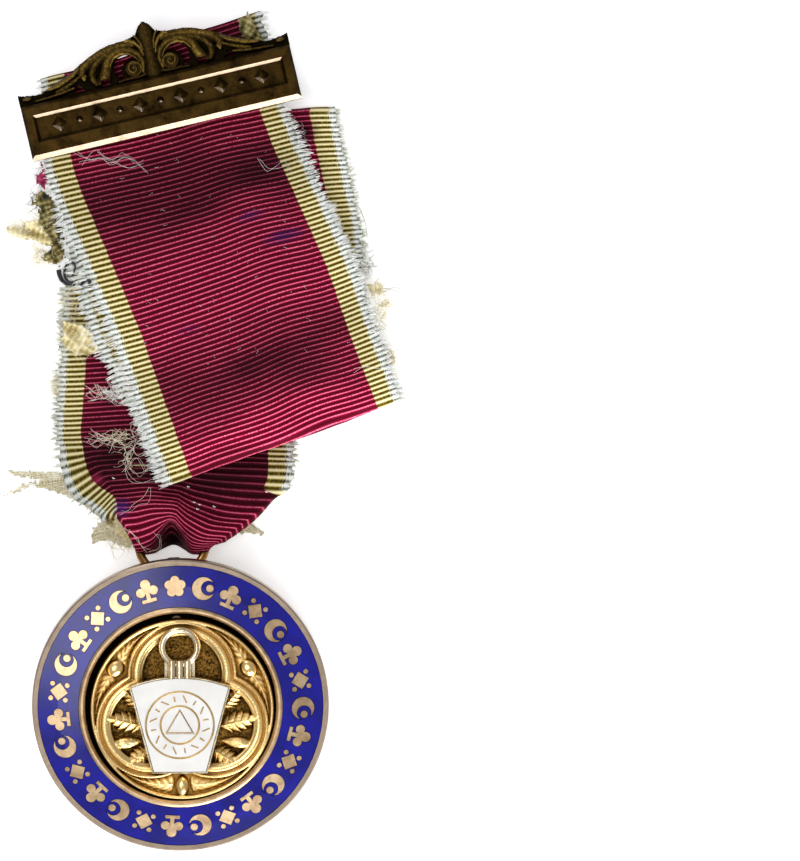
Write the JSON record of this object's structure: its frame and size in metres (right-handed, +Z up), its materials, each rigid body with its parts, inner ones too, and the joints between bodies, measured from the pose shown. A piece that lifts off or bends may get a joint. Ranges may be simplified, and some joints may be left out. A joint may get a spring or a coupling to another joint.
{
  "type": "masonic breast jewel",
  "caption": "Round gilt and enamelled breast jewel with a keystone centre, hung by a ring on a folded, frayed crimson ribbon under a brooch bar, lying face up.",
  "frame": {"origin": "on the table, on the underside of the ribbon's tail, under the far end of the suspension ring", "axes": "+Z up out of the table the jewel lies on, +Y along the jewel from the medal to the brooch bar, +X to the wearer's left, the viewer's right"},
  "size_m": [0.0601, 0.1243, 0.0098],
  "materials": {
    "gilt_metal": "gilt, worn and tarnished",
    "bar_metal": "stamped and gilt, darkened with age",
    "blue_enamel": "opaque fired enamel, polished",
    "white_enamel": "opaque fired enamel, polished",
    "ribbon": "ribbed silk with gold edge stripes",
    "gauze": "torn cotton net"
  },
  "bodies": {
    "root": {"medal_frame": "gilt_metal", "blue_enamel": "blue_enamel", "centre_disc": "gilt_metal", "keystone": "gilt_metal", "white_enamel": "white_enamel", "top_rivet": "gilt_metal", "left_rivet": "gilt_metal", "right_rivet": "gilt_metal", "centre_rivet": "gilt_metal", "suspension_ring": "gilt_metal", "front_ribbon": "ribbon", "rear_ribbon": "ribbon", "brooch_bar": "bar_metal", "left_gauze": "gauze", "right_gauze": "gauze"}
  },
  "joints": []
}
